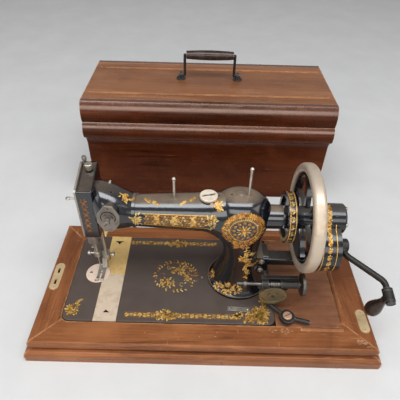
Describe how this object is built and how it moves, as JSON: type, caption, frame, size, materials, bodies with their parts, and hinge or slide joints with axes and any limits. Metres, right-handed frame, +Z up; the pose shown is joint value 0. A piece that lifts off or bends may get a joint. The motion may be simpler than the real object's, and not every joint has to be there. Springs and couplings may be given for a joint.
{
  "type": "sewing machine",
  "caption": "Hand-crank sewing machine with an arched arm, spoked hand wheel and folding crank handle, hinged in a wooden base, its moulded wooden case cover standing behind.",
  "frame": {"origin": "centre of the wooden base's underside, on the floor", "axes": "+X towards the hand wheel, +Y towards the back and the case cover, +Z up"},
  "size_m": [0.504, 0.565, 0.27],
  "materials": {
    "mahogany": "old shellac, worn at the edges",
    "deck_wood": "dark shellac",
    "brass": "aged brass",
    "black_japan": "gloss black japan with gold ornament",
    "nickel": "worn nickel plate",
    "steel": "bright steel, dulled",
    "dark_iron": "dark iron",
    "ebonised_wood": "ebonised and polished"
  },
  "bodies": {
    "base": {"base_rail_front": "mahogany", "base_rail_back": "mahogany", "base_rail_left": "mahogany", "base_rail_right": "mahogany", "base_bottom_board": "mahogany", "deck_panel": "deck_wood", "strike_plates": "brass", "hinge_leaves": "brass"},
    "head": {"bed_plate": "black_japan", "arm_casting": "black_japan", "face_plate": "nickel", "head_end_cap": "nickel", "needle_plate": "nickel", "spool_pins": "brass", "oil_cap_screw": "brass", "tension_plate": "nickel", "tension_discs": "nickel", "tension_spring": "steel", "shaft_bushes": "steel", "hinge_studs": "steel", "gear_case": "black_japan", "gear_case_cover": "black_japan", "shuttle_race": "steel", "presser_spring": "steel", "slide_plate_rear": "brass"},
    "wheel": {"main_shaft": "steel", "needle_crank": "steel", "hand_wheel": "black_japan", "wheel_rim": "nickel", "belt_pulley": "black_japan", "pinion": "steel"},
    "crank": {"crank_shaft": "steel", "crank_gear": "steel", "crank_arm": "dark_iron"},
    "handle": {"handle_knuckle": "dark_iron"},
    "grip": {"handle_grip": "ebonised_wood"},
    "needle": {"needle_bar": "steel", "needle_clamp": "steel", "needle": "steel"},
    "presser": {"presser_bar": "steel", "presser_foot": "steel"},
    "lifter": {"presser_lifter": "dark_iron"},
    "pressure": {"pressure_screw": "nickel"},
    "take_up": {"take_up_lever": "steel"},
    "tension": {"tension_nut": "nickel"},
    "front_plate": {"slide_plate_front": "nickel"},
    "rocker": {"rocker_lever": "steel"},
    "shuttle_arm": {"shuttle_lever": "steel"},
    "shuttle_boat": {"shuttle_carrier": "steel", "shuttle": "steel"},
    "feed": {"feed_dog": "steel"},
    "winder": {"winder_frame": "dark_iron"},
    "winder_shaft": {"winder_spindle": "steel"},
    "winder_wheel": {"winder_gear": "dark_iron"},
    "cover": {"cover_sides": "mahogany", "cover_ends": "mahogany", "cover_top": "mahogany", "cover_handle_posts": "dark_iron"},
    "cover_bail": {"cover_handle_bail": "dark_iron", "cover_handle_grip": "ebonised_wood"}
  },
  "joints": [
    {"name": "head_tilt", "type": "hinge", "parent": "base", "child": "head", "pos_m": [0, 0.0905, 0.036], "axis": [-1, 0, 0], "range_deg": [0, 54]},
    {"name": "wheel_spin", "type": "hinge", "parent": "head", "child": "wheel", "pos_m": [0.137, 0.008, 0.1725], "axis": [1, 0, 0], "continuous": true},
    {"name": "crank_turn", "type": "hinge", "parent": "head", "child": "crank", "pos_m": [0.18, -0.00997, 0.13677], "axis": [1, 0, 0], "continuous": true},
    {"name": "handle_fold", "type": "hinge", "parent": "crank", "child": "handle", "pos_m": [0.24, -0.08305, 0.11989], "axis": [0, -0.9744, -0.225], "range_deg": [0, 98]},
    {"name": "grip_spin", "type": "hinge", "parent": "handle", "child": "grip", "pos_m": [0.24, -0.08305, 0.11989], "axis": [-0.1392, 0.2228, -0.9649], "continuous": true},
    {"name": "needle_stroke", "type": "slide", "parent": "head", "child": "needle", "axis": [0, 0, 1], "range_m": [-0.019, 0]},
    {"name": "presser_lift", "type": "slide", "parent": "head", "child": "presser", "axis": [0, 0, 1], "range_m": [0, 0.006], "stiffness_N_per_m": 600, "springref_m": -0.01, "deforming": ["presser_spring"]},
    {"name": "lifter_turn", "type": "hinge", "parent": "head", "child": "lifter", "pos_m": [-0.158, 0.0468, 0.1575], "axis": [0, -1, 0], "range_deg": [0, 80.5]},
    {"name": "pressure_screw_turn", "type": "hinge", "parent": "head", "child": "pressure", "pos_m": [-0.158, 0.03, 0.236], "axis": [0, 0, 1], "continuous": true},
    {"name": "take_up_swing", "type": "hinge", "parent": "head", "child": "take_up", "pos_m": [-0.1684, 0.034, 0.1955], "axis": [1, 0, 0], "range_deg": [-14, 14]},
    {"name": "tension_turn", "type": "hinge", "parent": "head", "child": "tension", "pos_m": [-0.127, -0.04, 0.196], "axis": [0, 1, 0], "continuous": true},
    {"name": "front_plate_slide", "type": "slide", "parent": "head", "child": "front_plate", "axis": [0, -1, 0], "range_m": [0, 0.06]},
    {"name": "rocker_swing", "type": "hinge", "parent": "head", "child": "rocker", "pos_m": [0.053, 0.008, 0.062], "axis": [1, 0, 0], "range_deg": [-2.5, 2.5]},
    {"name": "shuttle_lever_swing", "type": "hinge", "parent": "head", "child": "shuttle_arm", "pos_m": [0.03, 0.008, 0.023], "axis": [0, 0, 1], "range_deg": [-4.4, 4.4]},
    {"name": "shuttle_travel", "type": "slide", "parent": "head", "child": "shuttle_boat", "axis": [0, 1, 0], "range_m": [-0.014, 0.014]},
    {"name": "feed_travel", "type": "slide", "parent": "head", "child": "feed", "axis": [0, 1, 0], "range_m": [-0.002, 0.002]},
    {"name": "winder_swing", "type": "hinge", "parent": "head", "child": "winder", "pos_m": [0.095, -0.032, 0.0585], "axis": [-1, 0, 0], "range_deg": [0, 4]},
    {"name": "winder_spin", "type": "hinge", "parent": "winder", "child": "winder_shaft", "pos_m": [0.1, -0.05, 0.097], "axis": [1, 0, 0], "continuous": true},
    {"name": "winder_gear_turn", "type": "hinge", "parent": "winder", "child": "winder_wheel", "pos_m": [0.099, -0.05, 0.072], "axis": [0, 1, 0], "continuous": true},
    {"name": "cover_lift", "type": "slide", "parent": "base", "child": "cover", "axis": [0, 0, 1], "range_m": [0, 0.3]},
    {"name": "cover_handle_fold", "type": "hinge", "parent": "cover", "child": "cover_bail", "pos_m": [0.003, 0.35, 0.222], "axis": [1, 0, 0], "range_deg": [-80, 80]}
  ],
  "couplings": [
    {"joint": "crank_turn", "follows": "wheel_spin", "ratio": -0.33333},
    {"joint": "lifter_turn", "follows": "presser_lift", "rad_per_m": 232.71},
    {"joint": "shuttle_lever_swing", "follows": "rocker_swing", "ratio": 1.6957},
    {"joint": "shuttle_travel", "follows": "rocker_swing", "m_per_rad": -0.29335},
    {"joint": "winder_gear_turn", "follows": "winder_spin", "ratio": 0.025}
  ]
}
